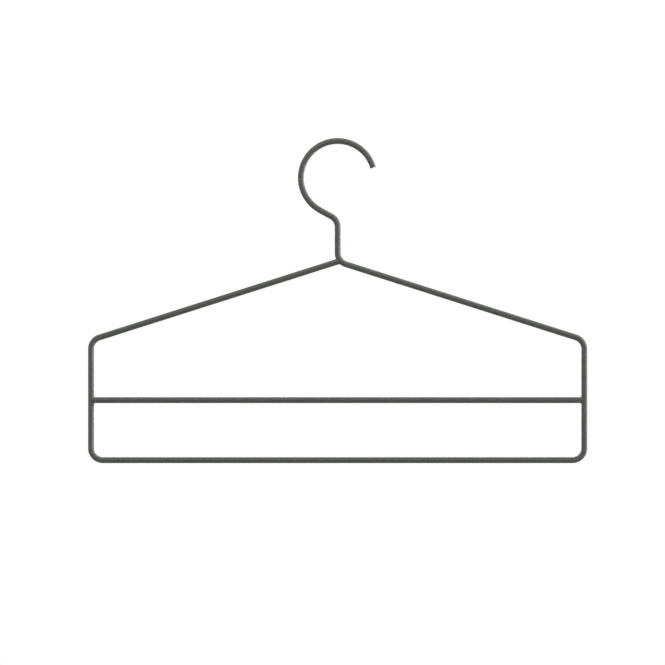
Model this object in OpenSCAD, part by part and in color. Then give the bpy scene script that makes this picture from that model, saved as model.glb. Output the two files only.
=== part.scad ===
// Trouser hanger: one round steel rod bent to a hook, a neck and a closed frame,
// with a straight trouser bar welded across it.
// Millimetres, +Z up. The hanger lies in the XZ plane, and its hook opens towards +X.
// The origin is the top of the hook's inside, the point that rests on a rail.

/* [Rod] */
// Diameter of the round steel rod
rod_d = 5; // [4:0.5:6]
// Radius of every bend of the frame and the neck, to the rod's centre line
bend_r = 10; // [8:1:12]

/* [Frame] */
// Width across the outside of the frame
overall_w = 420; // [380:5:450]
// Drop of each shoulder's centre line, from the foot of the neck to the side's corner
shoulder_drop = 66; // [50:1:80]
// Height of the sides, from the bottom bar's centre line to the corner
side_h = 101; // [85:1:120]
// Height of the trouser bar above the bottom bar, between centre lines
trouser_bar_h = 50.5; // [40:0.5:60]

/* [Hook] */
// Radius of the hook, to the rod's centre line
hook_r = 31; // [28:1:34]
// Distance from the hook's centre down to the foot of the neck
neck_drop = 70.5; // [68:0.5:80]
// Slope of the straight throat between the hook and the neck, in degrees
throat_slope = 29; // [25:1:32]
// Height of the hook's tip above the level of its centre, in degrees round the hook
tip_rise = 16; // [0:1:30]
// Length of the straight end of the tip
tip_l = 2; // [1:0.5:5]
// Chamfer round the cut end of the tip
tip_chamfer = 0.4; // [0.2:0.1:0.8]

/* [Welds] */
// Radius of the weld bead that lies in each crotch between two rods
bead_r = 0.9; // [0.7:0.1:1.1]
// Gap at the root of each weld, between a rod's end and the rod that it meets
root_gap = 0.2; // [0.1:0.1:0.4]

/* [Hidden] */
$fn = 96;
coat = [0.30, 0.31, 0.30];
weld_coat = [0.38, 0.39, 0.38];

rod_r = rod_d / 2;
half_w = overall_w / 2 - rod_r;

// A bend draws the rod a little thinner, and reaches a little way into the straight
// runs at its ends, so that the two are one solid
bent_r = rod_r - 0.01;
bend_lap = 0.2;

// Heights of the centre lines
hook_z = bent_r - hook_r;
foot_z = hook_z - neck_drop;
corner_z = foot_z - shoulder_drop;
base_z = corner_z - side_h;
bar_z = base_z + trouser_bar_h;

// A shoulder turns through the same angle at the neck and at the side
shoulder_slope = atan(shoulder_drop / half_w);
shoulder_turn = 90 - shoulder_slope;
shoulder_setback = bend_r * tan(shoulder_turn / 2);

// Centres of the bends, as [x, z]. Those of the left side mirror those of the right.
foot = [0, foot_z];
foot_centre = [bend_r, foot_z + shoulder_setback];
corner_centre = [half_w - bend_r, corner_z - shoulder_setback];
base_centre = [half_w - bend_r, base_z + bend_r];

// The throat leaves the hook along a tangent and ends at the neck's upper bend
hook_end = 270 - throat_slope;
throat_start = [0, hook_z] + polar(hook_r, hook_end);
throat_end_x = bend_r * sin(throat_slope) - bend_r;
throat_l = (throat_end_x - throat_start[0]) / cos(throat_slope);
throat_end = throat_start + polar(throat_l, -throat_slope);
neck_centre = [-bend_r, throat_end[1] - bend_r * cos(throat_slope)];

// The hook's arc stops where the straight end of the tip starts
tip_turn = tip_rise + atan(tip_l / hook_r);

// A bead's line is a circle, bent a little tighter than the crossing of the two rods,
// so that the bead is half sunk in the crotch and runs out at the front and back
bead_ring_r = 0.6 * rod_r;
bead_sink = bead_r / 2;

// A step of a given length, at an angle turned from +X towards +Z
function polar(length, angle) = length * [cos(angle), sin(angle)];

// Where a line beside the left shoulder's centre line, offset upwards from it, meets
// the outside of the foot bend
function shoulder_crotch(offset) =
    let (
        run = (foot_centre - foot) * polar(1, shoulder_slope),
        height = (foot_centre - foot) * polar(1, shoulder_slope + 90) - offset,
        reach = run - sqrt(pow(bend_r + bent_r, 2) - pow(height, 2))
    )
    foot + polar(reach, shoulder_slope) + polar(offset, shoulder_slope + 90);

// The angle of the way that the outside of the foot bend faces at one of its points
function foot_bend_facing(point) =
    let (out = point - foot_centre)
    360 + atan2(out[1], out[0]);

// A straight length of rod between two points [x, z]
module straight(from, to, r = rod_r) {
    run = to - from;
    translate([from[0], 0, from[1]])
        rotate([0, 90 - atan2(run[1], run[0]), 0])
            cylinder(r = r, h = norm(run));
}

// A bend of the rod about a centre [x, z], through a sweep that starts at an angle
module bend(centre, radius, start, sweep, r = bent_r) {
    lap = bend_lap / radius * 180 / PI;
    translate([centre[0], 0, centre[1]])
        rotate([90, 0, 0])
            rotate([0, 0, start - lap])
                rotate_extrude(angle = sweep + 2 * lap)
                    translate([radius, 0])
                        circle(r = r);
}

// The straight end of the hook, cut square with its edge broken
module hook_tip() {
    end = [0, hook_z] + polar(hook_r, tip_turn);
    translate([end[0], 0, end[1]])
        rotate([0, 180 - tip_turn, 0])
            rotate_extrude()
                polygon([[0, 0], [rod_r, 0], [rod_r, tip_l - tip_chamfer],
                         [rod_r - tip_chamfer, tip_l], [0, tip_l]]);
}

// From the hook's tip down to the bend at the foot of the neck
module hook_and_neck() {
    hook_tip();
    bend([0, hook_z], hook_r, tip_turn, hook_end - tip_turn);
    straight(throat_start, throat_end);
    bend(neck_centre, bend_r, 0, 90 - throat_slope);
    straight([0, neck_centre[1]], [0, foot_centre[1]]);
}

// The bend from the neck into the right shoulder, which the left shoulder is welded to
module foot_bend(r = bent_r) {
    bend(foot_centre, bend_r, 180, shoulder_turn, r);
}

// The corner, side and lower corner at +X
module frame_side() {
    bend(corner_centre, bend_r, 0, shoulder_turn);
    straight([half_w, base_centre[1]], [half_w, corner_centre[1]]);
    bend(base_centre, bend_r, 270, 90);
}

module right_shoulder() {
    straight(foot_centre + polar(bend_r, 180 + shoulder_turn),
             corner_centre + polar(bend_r, shoulder_turn));
}

// The left shoulder's straight run, as far as the middle of the foot bend
module left_shoulder_run() {
    difference() {
        straight([-corner_centre[0], corner_centre[1]] + polar(bend_r, 180 - shoulder_turn),
                 foot + polar(bend_r, shoulder_slope));
        translate([foot_centre[0], 0, foot_centre[1]])
            rotate([90, 0, 0])
                cylinder(r = bend_r, h = 2 * rod_d, center = true);
    }
}

// One rod, from the tip of the hook round the frame to the weld at the neck
module frame_rod() {
    color(coat) {
        hook_and_neck();
        foot_bend();
        right_shoulder();
        frame_side();
        straight([-base_centre[0], base_z], [base_centre[0], base_z]);
        mirror([1, 0, 0])
            frame_side();
        difference() {
            left_shoulder_run();
            foot_bend(bent_r + root_gap);
        }
    }
}

// The side rod beside one end of the trouser bar, at +X or -X
module side_rod(side, r = rod_r) {
    straight([side * half_w, bar_z - rod_d], [side * half_w, bar_z + rod_d], r);
}

// The trouser bar before its ends are coped
module bar_blank() {
    straight([-half_w, bar_z], [half_w, bar_z]);
}

module trouser_bar() {
    color(coat)
        difference() {
            bar_blank();
            side_rod(-1, rod_r + root_gap);
            side_rod(1, rod_r + root_gap);
        }
}

// A bead in the crotch at a point [x, z], which faces along an angle
module crotch_bead(crotch, facing) {
    translate([crotch[0], 0, crotch[1]])
        rotate([0, -facing, 0])
            translate([-bead_ring_r - bead_sink, 0, 0])
                rotate_extrude()
                    translate([bead_ring_r, 0])
                        circle(r = bead_r);
}

// The weld between the left shoulder's end and the foot bend: it fills the root gap
// and has a bead above and below, which each face midway between the two surfaces
module neck_weld() {
    along_shoulder = 180 + shoulder_slope;
    above = shoulder_crotch(rod_r);
    below = shoulder_crotch(-rod_r);
    color(weld_coat)
        difference() {
            union() {
                intersection() {
                    left_shoulder_run();
                    foot_bend(bent_r + root_gap);
                }
                crotch_bead(above, (along_shoulder + foot_bend_facing(above) - 90) / 2);
                crotch_bead(below, (along_shoulder + foot_bend_facing(below) + 90) / 2);
            }
            frame_rod();
        }
}

// The weld at one end of the trouser bar, made in the same way
module bar_weld(side) {
    facing_above = side < 0 ? 45 : 135;
    color(weld_coat)
        difference() {
            union() {
                intersection() {
                    bar_blank();
                    side_rod(side, rod_r + root_gap);
                }
                for (up = [-1, 1])
                    crotch_bead([side * (half_w - rod_r), bar_z + up * rod_r],
                                up * facing_above);
            }
            side_rod(side);
            trouser_bar();
        }
}

module left_bar_weld() {
    bar_weld(-1);
}

module right_bar_weld() {
    bar_weld(1);
}

frame_rod();
trouser_bar();
neck_weld();
left_bar_weld();
right_bar_weld();
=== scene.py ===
"""Trouser hanger bent from one round steel rod, with a welded trouser bar, all powder coated.

Lengths are in metres and angles in radians. The hanger hangs in the XZ plane, +Z up, with
its origin at the top of the hook's inside, and its hook opens towards +X.
"""
import math

import bmesh
import bpy
from bpy.props import FloatProperty, FloatVectorProperty, IntProperty, PointerProperty
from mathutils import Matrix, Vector, noise


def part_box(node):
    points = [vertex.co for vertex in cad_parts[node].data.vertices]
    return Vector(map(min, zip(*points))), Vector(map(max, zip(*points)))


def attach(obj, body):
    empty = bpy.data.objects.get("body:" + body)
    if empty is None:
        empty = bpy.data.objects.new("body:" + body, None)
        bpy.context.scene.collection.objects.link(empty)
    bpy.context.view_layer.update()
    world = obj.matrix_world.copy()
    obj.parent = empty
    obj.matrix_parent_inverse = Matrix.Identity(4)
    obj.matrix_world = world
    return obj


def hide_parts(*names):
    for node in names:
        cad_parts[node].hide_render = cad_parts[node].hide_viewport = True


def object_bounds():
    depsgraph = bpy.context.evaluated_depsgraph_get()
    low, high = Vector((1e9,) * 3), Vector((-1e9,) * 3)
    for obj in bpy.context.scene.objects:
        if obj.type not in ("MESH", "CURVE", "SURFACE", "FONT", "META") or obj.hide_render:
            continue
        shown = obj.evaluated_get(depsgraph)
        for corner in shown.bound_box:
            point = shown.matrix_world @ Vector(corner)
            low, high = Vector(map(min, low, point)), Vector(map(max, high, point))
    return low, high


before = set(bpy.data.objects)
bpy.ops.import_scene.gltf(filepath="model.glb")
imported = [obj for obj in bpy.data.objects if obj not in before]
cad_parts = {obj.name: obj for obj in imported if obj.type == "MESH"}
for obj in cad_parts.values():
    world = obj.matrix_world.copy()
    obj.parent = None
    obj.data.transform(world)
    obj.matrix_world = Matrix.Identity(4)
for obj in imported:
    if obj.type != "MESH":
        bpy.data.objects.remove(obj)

bl_info = {
    "name": "Trouser Hanger",
    "version": (1, 0, 0),
    "blender": (4, 5, 0),
    "location": "View3D > Sidebar > Hanger",
    "description": "Builds a powder-coated steel trouser hanger",
    "category": "Add Mesh",
}

BODY = "root"

# The frame gives the rod's diameter, the width and the heights of the two bars
CAD_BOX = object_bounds()
FRAME_LOW, FRAME_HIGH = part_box("frame_rod")
BAR_LOW, BAR_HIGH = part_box("trouser_bar")
ROD_DIAMETER = BAR_HIGH.z - BAR_LOW.z
OVERALL_WIDTH = FRAME_HIGH.x - FRAME_LOW.x
BASE_Z = FRAME_LOW.z + ROD_DIAMETER / 2
BAR_Z = (BAR_LOW.z + BAR_HIGH.z) / 2

# Where the photograph, a square, shows the hanger, and how it was taken
PHOTO_PIXELS = 665
PHOTO_HANGER_WIDTH = 499.2
PHOTO_NECK_COLUMN = 337.7
PHOTO_SEAT_ROW = 144.0
CAMERA_LENS = 85.0
CAMERA_SENSOR = 36.0

# The hook's wide bend takes finer steps than the tight ones, so that it looks as round
HOOK_STEP_SHARE = 0.7
# A coped end sinks this share of the rod's radius into the rod that it meets
COPE_SINK = 0.02
# The trouser bar's last ring before each end, as a share of the way out from the middle
BAR_END_RING = 0.96
TIP_EDGE_FACES = 4

# Shape of a weld: faces round the joint and across the bead, how full its hollow is, and
# how uneven its edge, with the pace of that along the joint and from one weld to another
WELD_RINGS = 96
WELD_STEPS = 6
WELD_FULLNESS = 0.35
WELD_RIPPLE = 0.14
RIPPLE_PACE = 2.2
RIPPLE_SHIFT = 50
# What is left of the bead at the front and back, where the two rods are level
WELD_FADE = 0.005
# Shares of the rod's radius: how deep the bead's edges sink in, and where its core lies
WELD_SINK = 0.01
WELD_CORE = 0.8

# Name, place, size and watts of each lamp. All shine on the middle of the hanger.
LAMPS = (
    ("Key Lamp", (0, -0.9, 1.35), (0.8, 0.8), 25),
    ("Rim Lamp", (3.05, 0.54, 0.4), (0.6, 1.0), 172),
    ("Right Fill", (1.5, -0.9, -0.13), (0.6, 0.6), 7),
    ("Left Fill", (-1.63, -0.47, -0.13), (0.6, 0.6), 9),
    ("Back Fill", (0, 1.8, -0.13), (1.2, 0.8), 22),
)
FLOOR_Z = -1.5
FLOOR_RADIUS = 4.8
FLOOR_SIDES = 96
# Brightness that the floor adds where it is seen, to come near the white behind it
FLOOR_GLOW = 0.85


class HangerSizes(bpy.types.PropertyGroup):
    """Sizes of the rod and its bends"""

    rod_diameter: FloatProperty(
        name="Rod Diameter", description="Diameter of the round rod, coat included",
        default=ROD_DIAMETER, unit="LENGTH")
    overall_width: FloatProperty(
        name="Width", description="Width across the outside of the frame",
        default=OVERALL_WIDTH, unit="LENGTH")
    bend_radius: FloatProperty(
        name="Bend Radius", description="Radius of the corners and the neck, to the centre line",
        default=0.010, unit="LENGTH")
    shoulder_drop: FloatProperty(
        name="Shoulder Drop", description="Fall of a shoulder from the neck to the side",
        default=0.066, unit="LENGTH")
    neck_drop: FloatProperty(
        name="Neck Drop", description="Distance from the hook's centre down to the shoulders",
        default=0.0705, unit="LENGTH")
    hook_radius: FloatProperty(
        name="Hook Radius", description="Radius of the hook, to the centre line",
        default=0.031, unit="LENGTH")
    throat_slope: FloatProperty(
        name="Throat Slope", description="Slope of the straight run between hook and neck",
        default=math.radians(29), unit="ROTATION")
    tip_rise: FloatProperty(
        name="Tip Rise", description="Angle round the hook from its centre's level to the tip",
        default=math.radians(16), unit="ROTATION")
    tip_length: FloatProperty(
        name="Tip Length", description="Length of the straight end of the hook",
        default=0.002, unit="LENGTH")
    tip_rounding: FloatProperty(
        name="Tip Rounding", description="Radius of the coated edge round the cut end",
        default=0.0004, unit="LENGTH")
    weld_leg: FloatProperty(
        name="Weld Leg", description="Reach of a weld along each rod, in the crotch",
        default=0.0008, unit="LENGTH")
    rod_sides: IntProperty(
        name="Rod Sides", description="Faces round the rod", default=48, min=12)
    bend_step: FloatProperty(
        name="Bend Step", description="Turn of a bend from one ring of faces to the next",
        default=math.radians(3), unit="ROTATION")


class HangerFinish(bpy.types.PropertyGroup):
    """Colours, relief and gloss of the powder coat, and the colour of the floor"""

    coat_dark: FloatVectorProperty(
        name="Coat", description="Colour of the coat in the low spots of its grain",
        subtype="COLOR", size=3, default=(0.072, 0.077, 0.069))
    coat_light: FloatVectorProperty(
        name="Coat, Light", description="Colour of the coat on the high spots of its grain",
        subtype="COLOR", size=3, default=(0.102, 0.109, 0.098))
    relief_size: FloatProperty(
        name="Relief Size", description="Size of the bumps of the coat's textured surface",
        default=0.00112, unit="LENGTH")
    relief_height: FloatProperty(
        name="Relief Height", description="Height of the bumps, from the full range of their noise",
        default=0.00046, unit="LENGTH")
    grain_size: FloatProperty(
        name="Grain Size", description="Size of the coat's fine grain, which shows in its colour",
        default=0.00060, unit="LENGTH")
    grain_share: FloatProperty(
        name="Grain Share", description="Share of the fine grain in the coat's colour and gloss",
        default=0.85, min=0, max=1, subtype="FACTOR")
    roughness_low: FloatProperty(
        name="Roughness, Low Spots", description="Roughness of the coat in the grain's low spots",
        default=0.66, min=0, max=1, subtype="FACTOR")
    roughness_high: FloatProperty(
        name="Roughness, High Spots", description="Roughness of the coat on the grain's high spots",
        default=0.48, min=0, max=1, subtype="FACTOR")
    specular: FloatProperty(
        name="Specular", description="Strength of the coat's reflections",
        default=0.25, min=0, max=1, subtype="FACTOR")
    floor_colour: FloatVectorProperty(
        name="Floor", description="Colour of the floor",
        subtype="COLOR", size=3, default=(0.55, 0.55, 0.545))


def polar(radius, angle):
    """A step of a given length in the hanger's plane, at an angle turned from +X towards +Z."""
    return Vector((radius * math.cos(angle), 0.0, radius * math.sin(angle)))


def in_plane(x, z):
    """A point of the hanger's plane."""
    return Vector((x, 0.0, z))


class Layout:
    """Places that follow from the hanger's sizes: the centre line's corners and bends."""

    def __init__(self, sizes):
        self.rod = sizes.rod_diameter / 2
        self.bend = sizes.bend_radius
        self.half_width = sizes.overall_width / 2 - self.rod
        self.hook_radius = sizes.hook_radius
        self.hook_centre = in_plane(0, self.rod - sizes.hook_radius)
        self.foot = in_plane(0, self.hook_centre.z - sizes.neck_drop)
        self.corner = in_plane(self.half_width, self.foot.z - sizes.shoulder_drop)
        self.base_corner = in_plane(self.half_width, BASE_Z)
        self.shoulder_slope = math.atan(sizes.shoulder_drop / self.half_width)
        self.shoulder_turn = math.pi / 2 - self.shoulder_slope
        setback = self.bend * math.tan(self.shoulder_turn / 2)
        self.foot_centre = self.foot + in_plane(self.bend, setback)
        self.corner_centre = self.corner - in_plane(self.bend, setback)
        self.base_centre = self.base_corner + in_plane(-self.bend, self.bend)


def arc(centre, radius, start, end, step):
    """Points along an arc of the hanger's plane, both ends included."""
    count = max(1, math.ceil(abs(end - start) / step))
    return [centre + polar(radius, start + (end - start) * i / count)
            for i in range(count + 1)]


def mirrored(points):
    """The same points on the other side of the neck, in the opposite order."""
    return [in_plane(-p.x, p.z) for p in reversed(points)]


def frame_route(sizes):
    """The frame rod's centre line, from the hook's tip round to the end of the left shoulder."""
    lay = Layout(sizes)
    step = sizes.bend_step
    quarter = math.pi / 2
    tip_turn = sizes.tip_rise + math.atan(sizes.tip_length / lay.hook_radius)
    hook_end = 3 * quarter - sizes.throat_slope
    hook = arc(lay.hook_centre, lay.hook_radius, tip_turn, hook_end, step * HOOK_STEP_SHARE)
    tip = hook[0] + polar(sizes.tip_length, tip_turn - quarter)
    throat_end_x = lay.bend * (math.sin(sizes.throat_slope) - 1)
    throat_fall = (throat_end_x - hook[-1].x) * math.tan(sizes.throat_slope)
    neck_centre = in_plane(
        -lay.bend, hook[-1].z - throat_fall - lay.bend * math.cos(sizes.throat_slope))
    neck = arc(neck_centre, lay.bend, quarter - sizes.throat_slope, 0, step)
    foot = arc(lay.foot_centre, lay.bend, 2 * quarter, 2 * quarter + lay.shoulder_turn, step)
    corner = arc(lay.corner_centre, lay.bend, lay.shoulder_turn, 0, step)
    base = arc(lay.base_centre, lay.bend, 0, -quarter, step)
    right_side = corner + base
    return [tip] + hook + neck + foot + right_side + mirrored(right_side) + [lay.foot]


class ShoulderButt:
    """The left shoulder's end against the bend at the foot of the neck."""

    def __init__(self, lay):
        self.origin = lay.foot
        self.along = polar(1, lay.shoulder_slope)
        self.across = polar(1, lay.shoulder_slope + math.pi / 2)
        self.bend = lay.bend
        to_centre = lay.foot_centre - lay.foot
        self.run = to_centre.dot(self.along)
        self.height = to_centre.dot(self.across)

    def reach(self, up, front, radius):
        """Where a line beside the shoulder's axis meets a foot bend of a given rod radius."""
        ring = self.bend + math.sqrt(max(0, radius ** 2 - front ** 2))
        return self.run - math.sqrt(ring ** 2 - (self.height - up) ** 2)


class BarButt:
    """One end of the trouser bar against a straight side rod."""

    def __init__(self, lay, side):
        self.origin = in_plane(side * lay.half_width, BAR_Z)
        self.along = in_plane(side, 0)
        self.across = in_plane(0, 1)

    def reach(self, up, front, radius):
        """Where a line beside the bar's axis meets a side rod of a given radius, at any height."""
        return -math.sqrt(max(0, radius ** 2 - front ** 2))


def butt_point(butt, up, front, reach):
    """A point given by its steps across the hanger's plane, to the front and along the rod."""
    return butt.origin + butt.across * up + Vector((0, front, 0)) + butt.along * reach


def cope(mesh, butt, rod):
    """Shapes the rod's end at a butt joint to sit on the rod that it meets."""
    end_length = rod / 2
    half_height = rod * 1.01
    for vertex in mesh.vertices:
        step = vertex.co - butt.origin
        along = step.dot(butt.along)
        up = step.dot(butt.across)
        if abs(along) < end_length and abs(up) < half_height:
            reach = butt.reach(up, vertex.co.y, rod - rod * COPE_SINK)
            vertex.co = butt_point(butt, up, vertex.co.y, reach)


def rod_tree(name):
    """A node tree that sweeps a round rod along a line of vertices."""
    tree = bpy.data.node_groups.new(name, "GeometryNodeTree")
    face = tree.interface
    face.new_socket("Geometry", in_out="INPUT", socket_type="NodeSocketGeometry")
    face.new_socket("Rod Radius", in_out="INPUT", socket_type="NodeSocketFloat")
    face.new_socket("Rod Sides", in_out="INPUT", socket_type="NodeSocketInt")
    face.new_socket("Coat", in_out="INPUT", socket_type="NodeSocketMaterial")
    face.new_socket("Geometry", in_out="OUTPUT", socket_type="NodeSocketGeometry")
    nodes, links = tree.nodes, tree.links
    given = nodes.new("NodeGroupInput")
    line = nodes.new("GeometryNodeMeshToCurve")
    section = nodes.new("GeometryNodeCurvePrimitiveCircle")
    sweep = nodes.new("GeometryNodeCurveToMesh")
    smooth = nodes.new("GeometryNodeSetShadeSmooth")
    realize = nodes.new("GeometryNodeRealizeInstances")
    paint = nodes.new("GeometryNodeSetMaterial")
    result = nodes.new("NodeGroupOutput")
    sweep.inputs["Fill Caps"].default_value = True
    links.new(given.outputs["Geometry"], line.inputs["Mesh"])
    links.new(given.outputs["Rod Radius"], section.inputs["Radius"])
    links.new(given.outputs["Rod Sides"], section.inputs["Resolution"])
    links.new(line.outputs["Curve"], sweep.inputs["Curve"])
    links.new(section.outputs["Curve"], sweep.inputs["Profile Curve"])
    links.new(sweep.outputs["Mesh"], smooth.inputs["Geometry"])
    links.new(smooth.outputs["Geometry"], realize.inputs["Geometry"])
    links.new(realize.outputs["Geometry"], paint.inputs["Geometry"])
    links.new(given.outputs["Coat"], paint.inputs["Material"])
    links.new(paint.outputs["Geometry"], result.inputs["Geometry"])
    return tree


def swept_rod(context, name, route, coat):
    """A rod swept along a route by the node tree, as a plain mesh object."""
    sizes = context.scene.hanger_sizes
    line = bpy.data.meshes.new(name + "_route")
    line.from_pydata(route, [(i, i + 1) for i in range(len(route) - 1)], [])
    carrier = bpy.data.objects.new(name + "_route", line)
    context.collection.objects.link(carrier)
    tree = bpy.data.node_groups.get("Round Rod") or rod_tree("Round Rod")
    sweep = carrier.modifiers.new("Round Rod", "NODES")
    sweep.node_group = tree
    values = {"Rod Radius": sizes.rod_diameter / 2, "Rod Sides": sizes.rod_sides, "Coat": coat}
    for item in tree.interface.items_tree:
        if item.in_out == "INPUT" and item.name in values:
            sweep[item.identifier] = values[item.name]
    depsgraph = context.evaluated_depsgraph_get()
    mesh = bpy.data.meshes.new_from_object(carrier.evaluated_get(depsgraph))
    bpy.data.objects.remove(carrier)
    return new_piece(context, name, mesh)


def new_piece(context, name, mesh):
    """A linked object at the origin, with its place in its mesh."""
    mesh.name = name
    piece = bpy.data.objects.new(name, mesh)
    context.collection.objects.link(piece)
    return piece


def round_tip(mesh, tip, rounding):
    """Rounds the edge of the cut end that lies at the tip."""
    model = bmesh.new()
    model.from_mesh(mesh)
    caps = [face for face in model.faces if len(face.verts) > 4]
    cut = min(caps, key=lambda face: (face.calc_center_median() - tip).length)
    bmesh.ops.bevel(
        model, geom=list(cut.edges), offset=rounding, segments=TIP_EDGE_FACES, profile=0.5,
        affect="EDGES")
    for face in model.faces:
        face.smooth = True
    model.to_mesh(mesh)
    model.free()


def crotch_point(butt, turn, radius, on, back=0.0):
    """A point round the butting rod's axis, on a main rod of radius on, drawn back along it."""
    up = math.sin(turn) * radius
    front = math.cos(turn) * radius
    return butt_point(butt, up, front, butt.reach(up, front, on) - back)


def weld_section(butt, turn, rod, leg):
    """One ring of a weld: a concave curve from rod to rod, and a point inside both."""
    up, front = math.sin(turn), math.cos(turn)
    spot = Vector((up * RIPPLE_PACE, front * RIPPLE_PACE, butt.origin.x * RIPPLE_SHIFT))
    wobble = 1 + WELD_RIPPLE * noise.noise(spot)
    reach = leg * wobble * (WELD_FADE + (1 - WELD_FADE) * up ** 2)
    sunk = rod - rod * WELD_SINK
    core = rod * WELD_CORE
    crotch = crotch_point(butt, turn, rod, rod)
    on_main = crotch_point(butt, turn, rod + reach, sunk)
    on_butt = crotch_point(butt, turn, sunk, rod, back=reach)
    pull = crotch.lerp((on_main + on_butt) / 2, WELD_FULLNESS)
    section = []
    for j in range(WELD_STEPS + 1):
        t = j / WELD_STEPS
        section.append(on_main * (1 - t) ** 2 + pull * 2 * t * (1 - t) + on_butt * t ** 2)
    return section + [crotch_point(butt, turn, core, core)]


def weld_mesh(name, butt, rod, leg):
    """A small concave fillet round a butt joint, which fades out at the front and back."""
    model = bmesh.new()
    loops = []
    for i in range(WELD_RINGS):
        section = weld_section(butt, 2 * math.pi * i / WELD_RINGS, rod, leg)
        loops.append([model.verts.new(point) for point in section])
    for loop, following in zip(loops, loops[1:] + loops[:1]):
        for a in range(len(loop)):
            b = (a + 1) % len(loop)
            model.faces.new((loop[a], loop[b], following[b], following[a])).smooth = True
    bmesh.ops.recalc_face_normals(model, faces=model.faces)
    mesh = bpy.data.meshes.new(name)
    model.to_mesh(mesh)
    model.free()
    return mesh


def coat_noise(nodes, links, where, size, detail):
    """A noise on the piece's own coordinates, with spots of a given size."""
    texture = nodes.new("ShaderNodeTexNoise")
    texture.inputs["Scale"].default_value = 1 / size
    texture.inputs["Detail"].default_value = detail
    links.new(where.outputs["Object"], texture.inputs["Vector"])
    return texture


def powder_coat(finish):
    """The fine-textured matt powder coat on every rod and weld."""
    coat = bpy.data.materials.get("Powder Coat")
    if coat:
        return coat
    coat = bpy.data.materials.new("Powder Coat")
    coat.use_nodes = True
    nodes, links = coat.node_tree.nodes, coat.node_tree.links
    shader = nodes["Principled BSDF"]
    shader.inputs["Metallic"].default_value = 0.0
    shader.inputs["Specular IOR Level"].default_value = finish.specular
    where = nodes.new("ShaderNodeTexCoord")

    relief = coat_noise(nodes, links, where, finish.relief_size, detail=0.0)
    grain = coat_noise(nodes, links, where, finish.grain_size, detail=1.2)
    spots = nodes.new("ShaderNodeMix")
    spots.data_type = "FLOAT"
    spots.inputs["Factor"].default_value = finish.grain_share
    links.new(relief.outputs["Fac"], spots.inputs["A"])
    links.new(grain.outputs["Fac"], spots.inputs["B"])

    # The noise seldom leaves this middle range, so the two colours are spread over it
    tone = nodes.new("ShaderNodeMapRange")
    tone.inputs["From Min"].default_value = 0.40
    tone.inputs["From Max"].default_value = 0.60
    links.new(spots.outputs["Result"], tone.inputs["Value"])
    colour = nodes.new("ShaderNodeMix")
    colour.data_type = "RGBA"
    colour.inputs["A"].default_value = (*finish.coat_dark, 1)
    colour.inputs["B"].default_value = (*finish.coat_light, 1)
    links.new(tone.outputs["Result"], colour.inputs["Factor"])
    links.new(colour.outputs["Result"], shader.inputs["Base Color"])

    gloss = nodes.new("ShaderNodeMapRange")
    gloss.inputs["To Min"].default_value = finish.roughness_low
    gloss.inputs["To Max"].default_value = finish.roughness_high
    links.new(spots.outputs["Result"], gloss.inputs["Value"])
    links.new(gloss.outputs["Result"], shader.inputs["Roughness"])

    bump = nodes.new("ShaderNodeBump")
    bump.inputs["Strength"].default_value = 1.0
    bump.inputs["Distance"].default_value = finish.relief_height
    links.new(relief.outputs["Fac"], bump.inputs["Height"])
    links.new(bump.outputs["Normal"], shader.inputs["Normal"])
    return coat


def fasten(piece, node):
    """Rides a finished piece on the body and lets it stand for a node of the frame."""
    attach(piece, BODY)
    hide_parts(node)


class HANGER_OT_bend_frame_rod(bpy.types.Operator):
    """Bend the rod that makes the hook, the neck and the closed frame"""

    bl_idname = "hanger.bend_frame_rod"
    bl_label = "Bend Frame Rod"

    def execute(self, context):
        sizes = context.scene.hanger_sizes
        coat = powder_coat(context.scene.hanger_finish)
        lay = Layout(sizes)
        route = frame_route(sizes)
        piece = swept_rod(context, "bent_frame_rod", route, coat)
        cope(piece.data, ShoulderButt(lay), lay.rod)
        round_tip(piece.data, route[0], sizes.tip_rounding)
        fasten(piece, "frame_rod")
        return {"FINISHED"}


class HANGER_OT_cope_trouser_bar(bpy.types.Operator):
    """Cut the trouser bar to length and cope its ends to the side rods"""

    bl_idname = "hanger.cope_trouser_bar"
    bl_label = "Cope Trouser Bar"

    def execute(self, context):
        sizes = context.scene.hanger_sizes
        coat = powder_coat(context.scene.hanger_finish)
        lay = Layout(sizes)
        ends = [in_plane(side * lay.half_width, BAR_Z) for side in (-1, 1)]
        near = [in_plane(p.x * BAR_END_RING, p.z) for p in ends]
        piece = swept_rod(context, "coped_trouser_bar", [ends[0], *near, ends[1]], coat)
        for side in (-1, 1):
            cope(piece.data, BarButt(lay, side), lay.rod)
        fasten(piece, "trouser_bar")
        return {"FINISHED"}


class HANGER_OT_lay_welds(bpy.types.Operator):
    """Lay the welds at the neck and at both ends of the trouser bar"""

    bl_idname = "hanger.lay_welds"
    bl_label = "Lay Welds"

    def execute(self, context):
        sizes = context.scene.hanger_sizes
        coat = powder_coat(context.scene.hanger_finish)
        lay = Layout(sizes)
        butts = {
            "neck_weld": ShoulderButt(lay),
            "left_bar_weld": BarButt(lay, -1),
            "right_bar_weld": BarButt(lay, 1),
        }
        for node, butt in butts.items():
            mesh = weld_mesh(node + "_bead", butt, lay.rod, sizes.weld_leg)
            mesh.materials.append(coat)
            fasten(new_piece(context, node + "_bead", mesh), node)
        return {"FINISHED"}


def area_lamp(context, name, place, size, watts, aim):
    """A soft rectangular lamp that shines from a place towards a point."""
    lamp = bpy.data.lights.new(name, "AREA")
    lamp.shape = "RECTANGLE"
    lamp.size, lamp.size_y = size
    lamp.energy = watts
    holder = bpy.data.objects.new(name, lamp)
    holder.location = place
    holder.rotation_euler = (aim - Vector(place)).to_track_quat("-Z", "Y").to_euler()
    context.collection.objects.link(holder)


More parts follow.
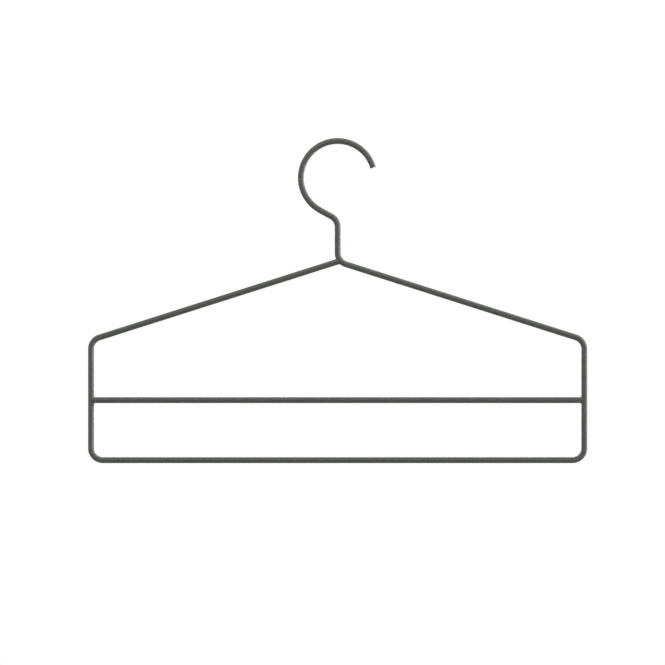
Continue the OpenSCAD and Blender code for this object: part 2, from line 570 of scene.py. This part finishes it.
def seen_directly(nodes, links):
    """A socket that is 1 for rays from the camera, mirrors and glass, and 0 for soft light."""
    path = nodes.new("ShaderNodeLightPath")
    kinds = [path.outputs[kind + " Ray"] for kind in ("Is Camera", "Is Glossy", "Is Transmission")]
    seen = kinds[0]
    for kind in kinds[1:]:
        either = nodes.new("ShaderNodeMath")
        either.operation = "MAXIMUM"
        links.new(seen, either.inputs[0])
        links.new(kind, either.inputs[1])
        seen = either.outputs["Value"]
    return seen


def white_world(context):
    """A world that is white to the camera and in reflections, and sheds no soft light."""
    world = bpy.data.worlds.new("Studio")
    context.scene.world = world
    world.use_nodes = True
    nodes, links = world.node_tree.nodes, world.node_tree.links
    surround = nodes["Background"]
    surround.inputs["Color"].default_value = (1, 1, 1, 1)
    links.new(seen_directly(nodes, links), surround.inputs["Strength"])


def pale_floor(context):
    """A plain pale round floor well below the hanger, lifted towards white where it is seen."""
    mesh = bpy.data.meshes.new("floor")
    turns = [2 * math.pi * i / FLOOR_SIDES for i in range(FLOOR_SIDES)]
    rim = [(FLOOR_RADIUS * math.cos(turn), FLOOR_RADIUS * math.sin(turn), FLOOR_Z)
           for turn in turns]
    mesh.from_pydata(rim, [], [tuple(range(FLOOR_SIDES))])
    paint = bpy.data.materials.new("Pale Floor")
    paint.use_nodes = True
    nodes, links = paint.node_tree.nodes, paint.node_tree.links
    shader = nodes["Principled BSDF"]
    shader.inputs["Base Color"].default_value = (*context.scene.hanger_finish.floor_colour, 1)
    shader.inputs["Roughness"].default_value = 0.9
    shader.inputs["Specular IOR Level"].default_value = 0.1
    shader.inputs["Emission Color"].default_value = (1, 1, 1, 1)
    glow = nodes.new("ShaderNodeMath")
    glow.operation = "MULTIPLY"
    glow.inputs[1].default_value = FLOOR_GLOW
    links.new(seen_directly(nodes, links), glow.inputs[0])
    links.new(glow.outputs["Value"], shader.inputs["Emission Strength"])
    mesh.materials.append(paint)
    new_piece(context, "floor", mesh)


def photo_camera(context):
    """A level camera square to the hanger, framed as the photograph is."""
    pixel = OVERALL_WIDTH / PHOTO_HANGER_WIDTH
    distance = CAMERA_LENS / CAMERA_SENSOR * PHOTO_PIXELS * pixel
    camera = bpy.data.cameras.new("Photo Camera")
    camera.lens = CAMERA_LENS
    camera.sensor_width = CAMERA_SENSOR
    view = bpy.data.objects.new("Photo Camera", camera)
    view.location = ((PHOTO_PIXELS / 2 - PHOTO_NECK_COLUMN) * pixel, -distance,
                     (PHOTO_SEAT_ROW - PHOTO_PIXELS / 2) * pixel)
    view.rotation_euler = (math.pi / 2, 0, 0)
    context.collection.objects.link(view)
    context.scene.camera = view


class HANGER_OT_set_stage(bpy.types.Operator):
    """Set the camera, the lamps, the white surround and the floor"""

    bl_idname = "hanger.set_stage"
    bl_label = "Set Stage"

    def execute(self, context):
        context.scene.view_settings.view_transform = "Standard"
        photo_camera(context)
        white_world(context)
        middle = (CAD_BOX[0] + CAD_BOX[1]) / 2
        for name, place, size, watts in LAMPS:
            area_lamp(context, name, place, size, watts, aim=middle)
        pale_floor(context)
        return {"FINISHED"}


class HANGER_PT_panel(bpy.types.Panel):
    """Lists the steps that build the hanger"""

    bl_label = "Trouser Hanger"
    bl_idname = "HANGER_PT_panel"
    bl_space_type = "VIEW_3D"
    bl_region_type = "UI"
    bl_category = "Hanger"

    def draw(self, context):
        for step in STEPS:
            self.layout.operator(step.bl_idname)
        for group in (context.scene.hanger_sizes, context.scene.hanger_finish):
            for name in group.__annotations__:
                self.layout.prop(group, name)


STEPS = (
    HANGER_OT_set_stage,
    HANGER_OT_bend_frame_rod,
    HANGER_OT_cope_trouser_bar,
    HANGER_OT_lay_welds,
)
CLASSES = (HangerSizes, HangerFinish, *STEPS, HANGER_PT_panel)


def register():
    for each in CLASSES:
        bpy.utils.register_class(each)
    bpy.types.Scene.hanger_sizes = PointerProperty(type=HangerSizes)
    bpy.types.Scene.hanger_finish = PointerProperty(type=HangerFinish)


def unregister():
    del bpy.types.Scene.hanger_finish
    del bpy.types.Scene.hanger_sizes
    for each in reversed(CLASSES):
        bpy.utils.unregister_class(each)


def main():
    register()
    bpy.ops.hanger.set_stage()
    bpy.ops.hanger.bend_frame_rod()
    bpy.ops.hanger.cope_trouser_bar()
    bpy.ops.hanger.lay_welds()


if __name__ == "__main__":
    main()
